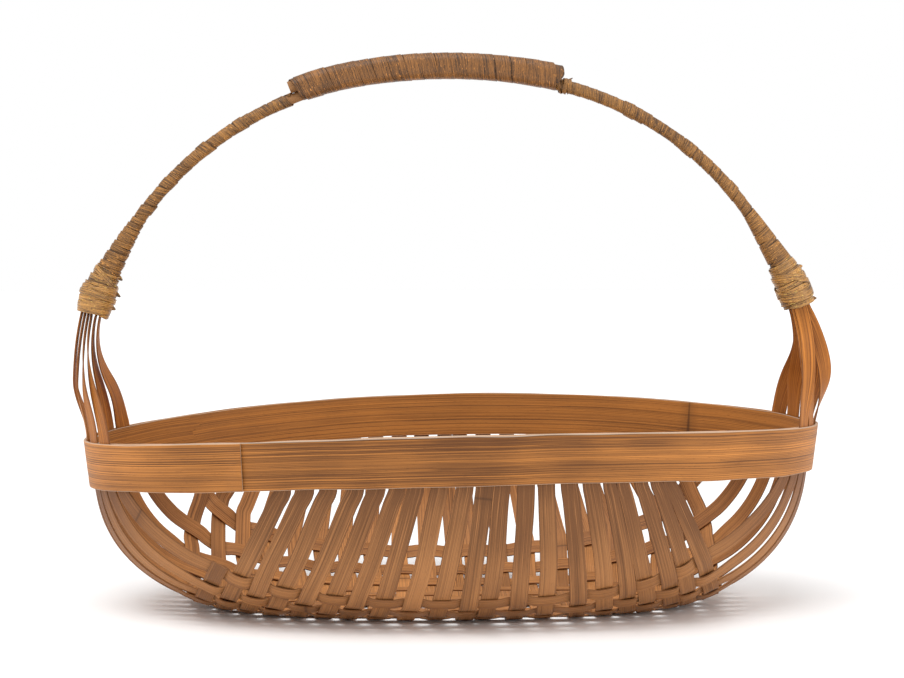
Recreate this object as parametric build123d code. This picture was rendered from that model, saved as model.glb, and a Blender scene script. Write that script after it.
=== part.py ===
from build123d import *
import itertools
import math
import os

# Oval split-bamboo basket with a fixed, bound arch handle.
# Millimetres. +Z is up, +X runs along the length, and the origin is on the
# resting plane under the middle of the basket.

# ---- rim ----
HALF_LENGTH = 200.0          # outer face of the rim at its top edge
HALF_WIDTH = 122.0
RIM_HEIGHT = 105.1           # top edge at the middle of the long sides
END_DIP = 8.9                # the ends of the rim sit this much lower
END_TILT = 4.0               # and the left end is lower than the right by twice this
BAND_DEPTH = 25.0
FLARE = 0.12                 # outward lean of the bands, per mm of height
OUTER_BAND = 1.6             # band thicknesses
INNER_BAND = 1.5
OUTER_LAP = 0.75             # thickness left at the shaved end of a band
LAP_LENGTH = 48.0
OUTER_LAP_ANGLE = 237.0      # degrees round the oval, from +X towards +Y
INNER_LAP_ANGLE = 151.0
BAND_STEPS = 120
LAP_GAP = 0.1                # between the two ends of a band at its lap
BAND_GAP = 0.2               # between the strips' ends and the inner band
STAKE_INSET = 2.4            # centre of the strips' ends, in from the rim's outer face
HANDLE_ROOM = 0.95           # and this much deeper at the ends, behind the handle strips

# ---- strips of the bowl ----
STRIP = 0.8                  # thickness of every split strip
WEAVE_GAP = 0.15             # between two strips where they cross
CROSS_WIDTH = 9.0            # strips that run across the basket
LONG_WIDTH = 10.0            # strips that run along it
LONG_WIDTH_RIM = 9.0
SIDE_GAP = 0.5               # between neighbours where they crowd at the rim
FLAT_EXTRA = 0.5             # a strip lies flat this far past the strip it crosses
FLAT_ROOM = 0.46             # and at most this share of the way to the next crossing
STRIP_TRIM = 1.5             # strip ends stop this far below the rim's top edge
CROSS_X = (-138.0, -124.7, -111.7, -98.0, -83.9, -70.0, -56.6, -41.9, -26.0, -10.9, 4.3,
           14.6, 30.5, 46.0, 63.8, 78.7, 91.7, 102.4, 117.1, 127.4, 142.0)
LONG_COUNT = 12
LONG_HALF_SPREAD = 84.5      # outermost long strips, at mid length
FRONT_CONVERGE = 0.14        # how far the long strips draw together by WEAVE_END
BACK_CONVERGE = 0.10
WEAVE_END = 136.0
# x of each cross strip where it leaves the front rim: they fan out from there
CROSS_FRONT_RIM = (-102.0, -89.8, -78.4, -66.1, -52.9, -41.8, -31.7, -22.6, -10.4, 2.2, 12.1,
                   21.3, 33.2, 43.8, 55.5, 66.9, 76.5, 83.6, 93.5, 101.4, 108.5)
CROSS_BACK_RIM = (0.907, -4.5)   # rim x = factor * x on the bottom + shift
CROSS_BACK_BULGE = 0.09          # share of x by which the back runs bow out halfway up
LONG_FRONT_RIM = 0.66            # rim y = factor * weave y
LONG_BACK_RIM = 0.80
WALL_STEPS = 6
WALL_START = 0.06            # share of the height between the weave's edge and the first section
WALL_START_LIMIT = 0.9

# ---- bowl shape: share of the half extent reached at a share of the height ----
FLAT_X, SLOPE_X, POWER_X = 0.627, 0.05, 2.53
FLAT_Y, SLOPE_Y, POWER_Y = 0.379, 0.08, 3.26

# ---- handle ----
HANDLE_RIM_Y = {-1: (-45.5, -32.0, -12.0, 6.0, 32.5, 45.0),   # strips where they leave the rim
                1: (-43.0, -31.0, -10.0, 8.0, 28.0, 40.5)}
HANDLE_WIDTH_RIM = 11.6
HANDLE_AIM = 2.5             # how much more a strip heads for the knot than up the band's slope
HANDLE_WIDTH_KNOT = {-1: 7.5, 1: 7.2}
HANDLE_BULGE = {-1: (0, 0, 0, 0, 0, 0), 1: (0, 0, 6.0, 5.0, 0, 0)}   # outward, midway
HANDLE_PULL = (0.33, 0.38)   # shares of its free length that keep a strip's direction at each end
HANDLE_TURN = 0.8            # share of its free length in which a strip turns and narrows
HANDLE_INSET = 2.3           # centre of the handle strips, in from the rim's outer face
HANDLE_TAIL = 21.0           # length of a handle strip held between the bands
STACK_PITCH = 0.95
FAN = 0.35                   # extra spacing of the layers, which dies away towards the knot
FAN_RISE = 0.5               # share of its free length in which a strip reaches its layer
STRIP_STEPS = 14
CROWN_X = -1.4
CROWN_Z = 289.9
CROWN_RADIUS = 283.4
CROWN_TURN = 0.1845          # radians, each side
FLANK_RADIUS = {-1: 182.6, 1: 177.1}
FLANK_TURN = {-1: 0.865, 1: 0.818}
SHIN = {-1: 13.7, 1: 21.0}   # straight, down to the top of the knot
ANKLE_TURN = {-1: 0.33, 1: 0.30}     # bend along the knot
CORE_RADIUS = 2.7
WRAP_GAP = 0.1
ARCH_WRAP = 3.5              # outer radius of the binding along the arch
GRIP_ENDS = (-87.5, 59.0)    # along the arch, from the crown
GRIP_RISE = 3.7              # the grip is padded on top, so its middle lies above the core's
GRIP_OUTER = (6.9, 7.2)      # half width and half height of the grip's binding
GRIP_INNER = (6.2, 6.5)
PAD_RISE = 6.2
PAD_HALF = (4.6, 3.35)
PAD_MARGIN = 1.5             # the pad ends this far inside the grip's binding
GRIP_SQUARENESS = 0.8        # 1 is an ellipse, and less is squarer
GRIP_SIDES = 32
GRIP_STEPS = 26
KNOT_LENGTH = 28.0
KNOT_INNER = 7.6
KNOT_OUTER = 10.2
KNOT_END = 8.6
KNOT_FULLNESS = 0.6          # lower is fuller towards the ends of the barrel
KNOT_ENTRY = 2.0             # the handle strips are gathered this far below the knot
KNOT_STEPS = 8
CORE_END = 0.5               # share of the knot that the core leaves free at its lower end
STACK_SHARES = (CORE_END, 0.75, 0.95)    # from the knot's lower end: strips beside the core
# layers beside the core: outward at the left end, and along Y with an outward shift at the right
LEFT_STACK = (1, 2, 3, 4, -1, -2)
LEFT_OPEN = (0.6, 2.4, 4.25, 6.05, -1.6, -4.0)   # offsets just below the left knot, past the core
RIGHT_STACK = ((-3, 0.0), (-2, -1.5), (-1, 2.2), (1, 2.2), (2, -1.5), (3, -0.6))
TAPER_LENGTH = 32.0          # binding that tapers up from each knot
TAPER_OUTER = 6.6

BOWL_X = HALF_LENGTH - FLARE * BAND_DEPTH - STAKE_INSET - HANDLE_ROOM
BOWL_Y = HALF_WIDTH - FLARE * BAND_DEPTH - STAKE_INSET
WEAVE_OFFSET = (STRIP + WEAVE_GAP) / 2
BOWL_LIFT = WEAVE_OFFSET + STRIP / 2


# ---- plain vector helpers ----
def unit(v):
    return v.normalized()


def mix(a, b, share):
    return a + (b - a) * share


# ---- solids from sections ----
def polygon(points):
    return Face(Wire.make_polygon(points, close=True))


def quad(a, b, c, d):
    """One flat face, or two triangles where the four corners are not in a plane."""
    normal = (b - a).cross(c - a)
    if normal.length > 1e-9 and abs((d - a).dot(unit(normal))) < 1e-6:
        return [polygon([a, b, c, d])]
    return [polygon([a, b, c]), polygon([a, c, d])]


def loft_sections(sections):
    """Closed solid through sections that each have the same number of corners."""
    faces = [polygon(sections[0]), polygon(sections[-1])]
    for near, far in zip(sections, sections[1:]):
        for i in range(len(near)):
            j = (i + 1) % len(near)
            if i < len(near) / 2:
                faces += quad(near[i], near[j], far[j], far[i])
            else:
                # opposite faces are split the same way, so a twist keeps its thickness
                faces += quad(near[j], near[i], far[i], far[j])
    return Solid(Shell(faces))


def strip_section(centre, across, normal, width, thickness):
    w = across * (width / 2)
    n = normal * (thickness / 2)
    return [centre - w - n, centre + w - n, centre + w + n, centre - w + n]


# ---- rim geometry ----
def rim_top(t):
    c = math.cos(t)
    return RIM_HEIGHT - END_DIP * c * c + END_TILT * c


def oval_normal(t):
    return unit(Vector(math.cos(t) / HALF_LENGTH, math.sin(t) / HALF_WIDTH, 0))


def oval_point(t, drop, inset):
    """Point inside the rim's outer face by inset, and below its top edge by drop."""
    edge = Vector(HALF_LENGTH * math.cos(t), HALF_WIDTH * math.sin(t), rim_top(t) - drop)
    return edge - oval_normal(t) * (inset + FLARE * drop)


def stake_inset(t):
    """Centre of the strip ends between the bands: deeper where handle strips join them."""
    return STAKE_INSET + HANDLE_ROOM * math.cos(t) ** 2


def inner_band_inset(t):
    return stake_inset(t) + STRIP / 2 + BAND_GAP


def rim_band(lap_degrees, face_inset, thickness):
    """Bent band whose two shaved ends lie one over the other at the lap."""
    end = math.radians(lap_degrees)
    lap = LAP_LENGTH / HALF_LENGTH
    total = 2 * math.pi + lap
    sections = []
    for i in range(BAND_STEPS + 1):
        along = total * i / BAND_STEPS
        t = end - lap + along
        under = min(along / lap, 1.0)
        over = min((total - along) / lap, 1.0)
        outer = face_inset(t) + (OUTER_LAP + LAP_GAP) * (1 - under)
        inner = face_inset(t) + thickness - (thickness - OUTER_LAP) * (1 - over)
        sections.append([oval_point(t, 0, outer), oval_point(t, BAND_DEPTH, outer),
                         oval_point(t, BAND_DEPTH, inner), oval_point(t, 0, inner)])
    return loft_sections(sections)


# ---- bowl geometry ----
def spread(share, flat, slope, power):
    return flat + slope * share + (1 - flat - slope) * (1 - (1 - share) ** power) ** (2 / 3)


def bowl_halves(share):
    share = min(max(share, 0.0), 1.0)
    return (BOWL_X * spread(share, FLAT_X, SLOPE_X, POWER_X),
            BOWL_Y * spread(share, FLAT_Y, SLOPE_Y, POWER_Y))


def bowl_excess(x, y, share):
    a, b = bowl_halves(share)
    return (x / a) ** 2 + (y / b) ** 2 - 1


def bowl_share(x, y):
    """Share of the wall's height at which the bowl passes over or under (x, y)."""
    if bowl_excess(x, y, 0) <= 0:
        return 0.0
    low, high = 0.0, 1.0
    for _ in range(40):
        middle = (low + high) / 2
        if bowl_excess(x, y, middle) > 0:
            low = middle
        else:
            high = middle
    return high


def wall_height(x, y):
    t = math.atan2(y / BOWL_Y, x / BOWL_X)
    return rim_top(t) - BAND_DEPTH - BOWL_LIFT


def bowl_point(x, y):
    return Vector(x, y, BOWL_LIFT + bowl_share(x, y) * wall_height(x, y))


def bowl_normal(p):
    """Unit normal that points into the bowl."""
    height = wall_height(p.X, p.Y)
    share = (p.Z - BOWL_LIFT) / height
    if share < 1e-6:
        return Vector(0, 0, 1)
    step = min(0.01, share / 2)
    rise = (bowl_excess(p.X, p.Y, share + step) - bowl_excess(p.X, p.Y, share - step)) / (2 * step)
    a, b = bowl_halves(share)
    return unit(Vector(-2 * p.X / a ** 2, -2 * p.Y / b ** 2, -rise / height))


def long_line(j, x):
    """y of long strip j where it passes x: the strips draw together towards the ends."""
    y = LONG_HALF_SPREAD * (2 * j / (LONG_COUNT - 1) - 1)
    converge = FRONT_CONVERGE if y < 0 else BACK_CONVERGE
    return y * (1 - converge * (x / WEAVE_END) ** 2)


def in_surface(direction, normal):
    return unit(direction - normal * direction.dot(normal))


def cross_rim_x(k, back):
    if not back:
        return CROSS_FRONT_RIM[k]
    factor, shift = CROSS_BACK_RIM
    return factor * CROSS_X[k] + shift


def cross_line(k, share, back):
    """x of cross strip k at a share of the wall's height: the strips fan out down the walls."""
    bow = CROSS_BACK_BULGE * 4 * share * (1 - share) if back else 0
    return mix(CROSS_X[k], cross_rim_x(k, back), share) + CROSS_X[k] * bow


def crossing_centre(k, j):
    x = CROSS_X[k]
    for _ in range(20):
        y = long_line(j, x)
        x = mix(x, cross_line(k, bowl_share(x, y), y > 0), 0.5)
    return bowl_point(x, long_line(j, x))


def crossing_centres():
    return [[crossing_centre(k, j) for j in range(LONG_COUNT)] for k in range(len(CROSS_X))]


def row_direction(row, i, normal):
    """Direction along a row of crossings at one of them, square to the bowl's normal."""
    return in_surface(row[min(i + 1, len(row) - 1)] - row[max(i - 1, 0)], normal)


def crossing(centres, k, j):
    """Where cross strip k meets long strip j: centre, inward normal and both directions."""
    centre = centres[k][j]
    normal = bowl_normal(centre)
    across = row_direction(centres[k], j, normal)
    along = row_direction([row[j] for row in centres], k, normal)
    return centre, normal, across, along


def flat_half(run, other_run, own_width, other_width):
    """Half length of the flat on which a strip crosses another one at an angle."""
    cosine = abs(run.dot(other_run))
    sine = math.sqrt(1 - cosine ** 2)
    return (other_width / 2 + own_width / 2 * cosine) / sine + FLAT_EXTRA


def weave_frames(crossings, own_width, other_width):
    """Two sections at each crossing, between which the strip lies flat."""
    frames = []
    for i, (centre, normal, run, other_run, side) in enumerate(crossings):
        beside = [crossings[n][0] for n in (i - 1, i + 1) if 0 <= n < len(crossings)]
        room = FLAT_ROOM * min((centre - point).length for point in beside)
        half = min(flat_half(run, other_run, own_width, other_width), room)
        across = normal.cross(run)
        level = centre + normal * (side * WEAVE_OFFSET)
        frames += [(level - run * half, across, normal), (level + run * half, across, normal)]
    return frames


def wall_stations(last, start, end):
    """Share of the height and place along the rim of each section above the weave's edge."""
    low = (last.Z - BOWL_LIFT) / wall_height(last.X, last.Y)
    first = min(low + WALL_START, WALL_START_LIMIT)
    shares = [mix(first, 1, i / WALL_STEPS) for i in range(WALL_STEPS)]
    return [(mix(start, end, (share - low) / (1 - low)), share) for share in shares]


def wall_point_cross(x, share, side):
    a, b = bowl_halves(share)
    y = side * b * math.sqrt(max(1 - (x / a) ** 2, 0))
    return Vector(x, y, BOWL_LIFT + share * wall_height(x, y))


def wall_point_long(y, share, side):
    a, b = bowl_halves(share)
    x = side * a * math.sqrt(max(1 - (y / b) ** 2, 0))
    return Vector(x, y, BOWL_LIFT + share * wall_height(x, y))


def wall_frames(last, wall_point, start, end, t, side):
    """Sections from the edge of the weave up the wall and in between the bands."""
    foot = oval_point(t, BAND_DEPTH, stake_inset(t))
    head = oval_point(t, STRIP_TRIM, stake_inset(t))
    points = [last]
    for place, share in wall_stations(last, start, end):
        points.append(wall_point(place, share, side))
    points += [foot, head]
    frames = []
    for i in range(1, len(points)):
        after = points[min(i + 1, len(points) - 1)]
        run = unit(after - points[i - 1])
        if i <= WALL_STEPS:
            normal = bowl_normal(points[i])
        else:
            normal = oval_normal(t) * -1
        normal = in_surface(normal, run)
        frames.append((points[i], normal.cross(run), normal))
    return frames


def crowded_width(positions, k, width):
    """Strip width at the rim, less where the nearest neighbour leaves no room."""
    nearest = min(abs(positions[k] - other) for i, other in enumerate(positions) if i != k)
    return min(width, nearest - SIDE_GAP)


def strip_from_frames(front, weave, back, width, front_width, back_width):
    """Strip through its weave sections, with a wall run at each end that may be narrower."""
    sections = []
    for i, frame in enumerate(front):
        share = (i + 1) / len(front)
        sections.insert(0, strip_section(*frame, mix(width, front_width, share), STRIP))
    for frame in weave:
        sections.append(strip_section(*frame, width, STRIP))
    for i, frame in enumerate(back):
        share = (i + 1) / len(back)
        sections.append(strip_section(*frame, mix(width, back_width, share), STRIP))
    return loft_sections(sections)


def reverse_run(frames):
    """The same sections seen by a strip that runs the other way."""
    return [(centre, across * -1, normal) for centre, across, normal in frames]


def cross_wall(k, weave, back):
    side = 1 if back else -1
    t = side * math.acos(cross_rim_x(k, back) / HALF_LENGTH)
    last = weave[-1][0] if back else weave[0][0]
    end = oval_point(t, BAND_DEPTH, stake_inset(t)).X
    frames = wall_frames(last, wall_point_cross, last.X, end, t, side)
    return frames if back else reverse_run(frames)


def cross_strip(centres, k):
    crossings = []
    for j in range(LONG_COUNT):
        centre, normal, across, along = crossing(centres, k, j)
        crossings.append((centre, normal, across, along, 1 if (k + j) % 2 else -1))
    weave = weave_frames(crossings, CROSS_WIDTH, LONG_WIDTH)
    # the strip at the left-hand edge is cut off at the front, where the weave ends
    front = [] if k == 0 else cross_wall(k, weave, False)
    back = cross_wall(k, weave, True)
    fronts = [cross_rim_x(i, False) for i in range(1, len(CROSS_X))]
    backs = [cross_rim_x(i, True) for i in range(len(CROSS_X))]
    front_width = crowded_width(fronts, max(k - 1, 0), CROSS_WIDTH)
    back_width = crowded_width(backs, k, CROSS_WIDTH)
    return strip_from_frames(front, weave, back, CROSS_WIDTH, front_width, back_width)


def long_wall(j, weave, right):
    side = 1 if right else -1
    last = weave[-1][0] if right else weave[0][0]
    y = long_line(j, 0)
    rim_y = y * (LONG_BACK_RIM if y > 0 else LONG_FRONT_RIM)
    rise = math.asin(rim_y / HALF_WIDTH)
    t = rise if right else math.pi - rise
    end = oval_point(t, BAND_DEPTH, stake_inset(t)).Y
    frames = wall_frames(last, wall_point_long, last.Y, end, t, side)
    return frames if right else reverse_run(frames)


def long_strip(centres, j):
    crossings = []
    for k in range(len(CROSS_X)):
        centre, normal, across, along = crossing(centres, k, j)
        crossings.append((centre, normal, along, across, -1 if (k + j) % 2 else 1))
    weave = weave_frames(crossings, LONG_WIDTH, CROSS_WIDTH)
    left = long_wall(j, weave, False)
    right = long_wall(j, weave, True)
    return strip_from_frames(left, weave, right, LONG_WIDTH, LONG_WIDTH_RIM, LONG_WIDTH_RIM)


# ---- handle geometry ----
def arch_legs(side):
    """Length and radius of each leg of the arch's centre line, from the crown down."""
    return ((CROWN_RADIUS * CROWN_TURN, CROWN_RADIUS),
            (FLANK_RADIUS[side] * FLANK_TURN[side], FLANK_RADIUS[side]),
            (SHIN[side], math.inf),
            (KNOT_LENGTH, KNOT_LENGTH / ANKLE_TURN[side]))


def arch_breaks(side):
    return list(itertools.accumulate(length for length, _ in arch_legs(side)))


def arch_frame(s):
    """Point on the arch's centre line at length s from the crown, and its direction down."""
    side = 1 if s >= 0 else -1
    left, x, z, turn = abs(s), CROWN_X, CROWN_Z, 0.0
    for length, radius in arch_legs(side) + ((math.inf, math.inf),):
        part = min(left, length)
        left -= part
        if radius == math.inf:
            x += side * math.cos(turn) * part
            z -= math.sin(turn) * part
        else:
            new = turn + part / radius
            x += side * radius * (math.sin(new) - math.sin(turn))
            z -= radius * (math.cos(turn) - math.cos(new))
            turn = new
    return Vector(x, 0, z), Vector(side * math.cos(turn), 0, -math.sin(turn))


def arch_outward(s):
    side = 1 if s >= 0 else -1
    run = arch_frame(s)[1]
    return run.cross(Vector(0, 1, 0)) * side


def arch_path(start, end):
    """Arcs and straight legs of the centre line between two lengths."""
    stops = {start, end}
    for side in (-1, 1):
        stops.update(side * length for length in arch_breaks(side))
    stops = sorted(s for s in stops if start <= s <= end)
    edges = []
    for a, b in zip(stops, stops[1:]):
        first, last = arch_frame(a)[0], arch_frame(b)[0]
        middle = (a + b) / 2
        _, flank, shin, _ = arch_breaks(1 if middle > 0 else -1)
        if flank < abs(middle) < shin:
            edges.append(Edge.make_line(first, last))
        else:
            edges.append(Edge.make_three_point_arc(first, arch_frame(middle)[0], last))
    return Wire(edges)


def arch_tube(start, end, outer, inner):
    """Round bar or sleeve along the arch."""
    path = arch_path(start, end)
    plane = Plane(origin=path @ 0, z_dir=path % 0)
    section = plane * Circle(outer)
    if inner:
        section -= plane * Circle(inner)
    return sweep(section, path=path)


def arch_ring(s, rise, half_width, half_height, sides, power=1.0):
    """Closed ring of corners round the arch at length s, with its middle raised by rise."""
    centre, outward = arch_frame(s)[0], arch_outward(s)
    points = []
    for i in range(sides):
        angle = 2 * math.pi * (i + 0.5) / sides
        c, w = math.cos(angle), math.sin(angle)
        y = math.copysign(abs(c) ** power, c) * half_width
        n = math.copysign(abs(w) ** power, w) * half_height + rise
        points.append(centre + Vector(0, 1, 0) * y + outward * n)
    return points


def sleeve(outers, inners):
    """Hollow solid between two runs of rings."""
    faces = []
    for rings in (outers, inners):
        for near, far in zip(rings, rings[1:]):
            for i in range(len(near)):
                j = (i + 1) % len(near)
                faces += quad(near[i], near[j], far[j], far[i])
    for outer, inner in ((outers[0], inners[0]), (outers[-1], inners[-1])):
        for i in range(len(outer)):
            j = (i + 1) % len(outer)
            faces += quad(outer[i], outer[j], inner[j], inner[i])
    return Solid(Shell(faces))


def taper_wrap(start, end, sides=24, steps=6):
    """Binding along the arch that grows from the arch's thickness to the knot's."""
    outers, inners = [], []
    bore = CORE_RADIUS + 2.5 * WRAP_GAP
    for i in range(steps + 1):
        s = mix(start, end, i / steps)
        radius = mix(ARCH_WRAP, TAPER_OUTER, i / steps)
        outers.append(arch_ring(s, 0, radius, radius, sides))
        inners.append(arch_ring(s, 0, bore, bore, sides))
    return sleeve(outers, inners)


def grip_stations(margin):
    start, end = GRIP_ENDS[0] + margin, GRIP_ENDS[1] - margin
    return [mix(start, end, i / GRIP_STEPS) for i in range(GRIP_STEPS + 1)]


def grip_rings(stations, rise, halves):
    return [arch_ring(s, rise, *halves, GRIP_SIDES, GRIP_SQUARENESS) for s in stations]


def knot_span(side):
    return arch_breaks(side)[2:]


def core_end(side):
    """Length along the arch at which the core ends, halfway down the knot."""
    top, low = knot_span(side)
    return mix(low, top, CORE_END)


def knot(side, sides=24):
    """Barrel of binding round the end of the arch, hollow for the strips and the core."""
    top, _ = knot_span(side)
    outers, inners = [], []
    for i in range(KNOT_STEPS + 1):
        share = i / KNOT_STEPS
        s = side * (top + KNOT_LENGTH * share)
        radius = KNOT_END + (KNOT_OUTER - KNOT_END) * math.sin(math.pi * share) ** KNOT_FULLNESS
        outers.append(arch_ring(s, 0, radius, radius, sides))
        inners.append(arch_ring(s, 0, KNOT_INNER, KNOT_INNER, sides))
    return sleeve(outers, inners)


def grip_wrap():
    stations = grip_stations(0)
    return sleeve(grip_rings(stations, GRIP_RISE, GRIP_OUTER),
                  grip_rings(stations, GRIP_RISE, GRIP_INNER))


def grip_pad():
    """Slat laid on top of the arch core to thicken the grip."""
    return loft_sections(grip_rings(grip_stations(PAD_MARGIN), PAD_RISE, PAD_HALF))


def layer_offset(layer):
    """Distance from the core's centre to the middle of a strip in the given layer."""
    side = 1 if layer > 0 else -1
    return side * (CORE_RADIUS + WRAP_GAP + STRIP / 2 + (abs(layer) - 1) * STACK_PITCH)


def stack_place(side, index):
    """Offset beside the core along Y and outward, and the way the strip's inner face looks."""
    if side < 0:
        return 0.0, layer_offset(LEFT_STACK[index]), 0
    layer, outward = RIGHT_STACK[index]
    return layer_offset(layer), outward, -1 if layer > 0 else 1


def ease(share):
    share = min(share, 1.0)
    return share * share * (3 - 2 * share)


def inner_face(s, facing):
    """Direction in which a strip's inner face looks beside the core at length s."""
    return Vector(0, facing, 0) if facing else arch_outward(s) * -1


def free_run(root, lean, bulge, entry, up, u):
    """Point and direction at share u of the bend between the rim and the knot."""
    reach = (entry - root).length
    start = unit(lean + unit(entry - root) * HANDLE_AIM)
    low = root + start * (reach * HANDLE_PULL[0]) + bulge
    high = entry - up * (reach * HANDLE_PULL[1]) + bulge
    a, b, c = mix(root, low, u), mix(low, high, u), mix(high, entry, u)
    d, e = mix(a, b, u), mix(b, c, u)
    return mix(d, e, u), unit(e - d)


def handle_strip(side, index):
    """Strip that rises from between the bands and enters the knot beside the core."""
    rise = math.asin(HANDLE_RIM_Y[side][index] / HALF_WIDTH)
    t = rise if side > 0 else math.pi - rise
    inward = oval_normal(t) * -1
    lean = unit(Vector(0, 0, 1) - inward * FLARE)
    width_knot = HANDLE_WIDTH_KNOT[side]
    sections = []
    for drop in (HANDLE_TAIL, 0):
        centre = oval_point(t, drop, HANDLE_INSET)
        sections.append(strip_section(centre, inward.cross(lean), inward, HANDLE_WIDTH_RIM, STRIP))
    beside, outward, facing = stack_place(side, index)
    top, low = knot_span(side)
    below = side * (low + KNOT_ENTRY)
    entry, down = arch_frame(below)
    final = inner_face(below, facing)
    open_outward = LEFT_OPEN[index] if side < 0 else outward
    offset = Vector(0, beside, 0) + arch_outward(below) * open_outward
    root = oval_point(t, 0, HANDLE_INSET)
    bulge = inward * -HANDLE_BULGE[side][index]
    for i in range(1, STRIP_STEPS + 1):
        u = i / STRIP_STEPS
        centre, run = free_run(root, lean, bulge, entry, down * -1, u)
        centre = centre + offset * (ease(u / FAN_RISE) * (1 + FAN * (1 - u)))
        turn = ease(u / HANDLE_TURN)
        normal = in_surface(mix(inward, final, turn), run)
        width = mix(HANDLE_WIDTH_RIM, width_knot, turn)
        sections.append(strip_section(centre, normal.cross(run), normal, width, STRIP))
    for share in STACK_SHARES:
        s = side * mix(low, top, share)
        centre, down = arch_frame(s)
        normal = inner_face(s, facing)
        centre = centre + Vector(0, beside, 0) + arch_outward(s) * outward
        sections.append(strip_section(centre, normal.cross(down * -1), normal, width_knot, STRIP))
    return loft_sections(sections)


# ---- assembly ----
def build():
    parts = {
        "outer_rim_band": rim_band(OUTER_LAP_ANGLE, lambda t: 0.0, OUTER_BAND),
        "inner_rim_band": rim_band(INNER_LAP_ANGLE, inner_band_inset, INNER_BAND),
        "arch_core": arch_tube(-core_end(-1), core_end(1), CORE_RADIUS, 0),
        "grip_wrap": grip_wrap(),
        "grip_pad": grip_pad(),
    }
    centres = crossing_centres()
    for k in range(len(CROSS_X)):
        parts[f"cross_strip_{k + 1:02d}"] = cross_strip(centres, k)
    for j in range(LONG_COUNT):
        parts[f"long_strip_{j + 1:02d}"] = long_strip(centres, j)
    for side, name, grip_end in ((-1, "left", GRIP_ENDS[0]), (1, "right", GRIP_ENDS[1])):
        top, _ = knot_span(side)
        taper_top = top - TAPER_LENGTH
        wrap_ends = sorted((grip_end, side * taper_top))
        bore = CORE_RADIUS + WRAP_GAP
        parts[f"knot_{name}"] = knot(side)
        parts[f"taper_wrap_{name}"] = taper_wrap(side * taper_top, side * top)
        parts[f"arch_wrap_{name}"] = arch_tube(*wrap_ends, ARCH_WRAP, bore)
        for index in range(len(HANDLE_RIM_Y[side])):
            parts[f"handle_strip_{name}_{index + 1}"] = handle_strip(side, index)
    return parts


os.makedirs("parts", exist_ok=True)
for node, solid in build().items():
    export_step(solid, f"parts/{node}.step")
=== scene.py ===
import bpy
import math
import numpy as np
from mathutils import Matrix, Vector

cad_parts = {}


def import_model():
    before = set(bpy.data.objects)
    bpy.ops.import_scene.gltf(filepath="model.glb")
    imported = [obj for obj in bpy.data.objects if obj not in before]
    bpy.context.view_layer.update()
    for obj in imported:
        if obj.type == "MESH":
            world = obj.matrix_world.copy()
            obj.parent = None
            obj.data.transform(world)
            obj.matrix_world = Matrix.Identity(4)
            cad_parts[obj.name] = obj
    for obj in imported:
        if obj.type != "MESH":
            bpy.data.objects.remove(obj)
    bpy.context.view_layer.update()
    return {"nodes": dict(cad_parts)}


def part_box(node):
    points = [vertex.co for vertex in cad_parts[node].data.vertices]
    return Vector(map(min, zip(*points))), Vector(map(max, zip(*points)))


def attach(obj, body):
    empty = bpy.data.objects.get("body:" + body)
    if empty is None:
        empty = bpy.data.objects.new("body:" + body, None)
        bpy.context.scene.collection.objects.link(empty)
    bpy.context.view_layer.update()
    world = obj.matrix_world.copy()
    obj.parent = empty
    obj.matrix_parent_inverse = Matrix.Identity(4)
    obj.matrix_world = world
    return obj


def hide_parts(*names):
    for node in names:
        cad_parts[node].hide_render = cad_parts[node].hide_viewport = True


# Looks of an oval split-bamboo basket with a bound arch handle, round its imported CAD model.
# Shapes are worked out in millimetres in the CAD frame, and the meshes are made in metres.

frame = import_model()

MM = 0.001

# ---- the part's own dimensions: millimetres, degrees for the lap angles, radians for turns ----
# Where a value differs between the ends of the basket, -1 is the left end and 1 the right.
rim_low, rim_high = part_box("outer_rim_band")
HALF_LENGTH = (rim_high.x - rim_low.x) / 2 / MM
HALF_WIDTH = (rim_high.y - rim_low.y) / 2 / MM

# rim
RIM_HEIGHT, END_DIP, END_TILT = 105.1, 8.9, 4.0
BAND_DEPTH, FLARE = 25.0, 0.12
OUTER_BAND, INNER_BAND, OUTER_LAP, LAP_LENGTH = 1.6, 1.5, 0.75, 48.0
OUTER_LAP_ANGLE, INNER_LAP_ANGLE = 237.0, 151.0
LAP_GAP, BAND_GAP, STAKE_INSET, HANDLE_ROOM = 0.1, 0.2, 2.4, 0.95
LAP_SPRING, LAP_SPRING_TURN, BACK_LIFT = 1.7, 0.06, 0.9

# weave: CROSS_X is where each cross strip lies on the bottom, CROSS_FRONT_RIM at the front rim
STRIP, WEAVE_GAP = 0.8, 0.15
CROSS_WIDTH, LONG_WIDTH, LONG_WIDTH_RIM, SIDE_GAP = 9.0, 10.0, 9.0, 0.5
FLAT_EXTRA, FLAT_ROOM, STRIP_TRIM = 0.5, 0.46, 1.5
CROSS_X = (-138.0, -124.7, -111.7, -98.0, -83.9, -70.0, -56.6, -41.9, -26.0, -10.9, 4.3,
           14.6, 30.5, 46.0, 63.8, 78.7, 91.7, 102.4, 117.1, 127.4, 142.0)
LONG_COUNT, LONG_HALF_SPREAD = 12, 84.5
FRONT_CONVERGE, BACK_CONVERGE, WEAVE_END = 0.14, 0.10, 136.0
CROSS_FRONT_RIM = (-102.0, -89.8, -78.4, -66.1, -52.9, -41.8, -31.7, -22.6, -10.4, 2.2, 12.1,
                   21.3, 33.2, 43.8, 55.5, 66.9, 76.5, 83.6, 93.5, 101.4, 108.5)
CROSS_BACK_RIM, CROSS_BACK_BULGE = (0.907, -4.5), 0.09
LONG_FRONT_RIM, LONG_BACK_RIM = 0.66, 0.80
WALL_STEPS, WALL_START, WALL_START_LIMIT = 6, 0.06, 0.9

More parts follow.
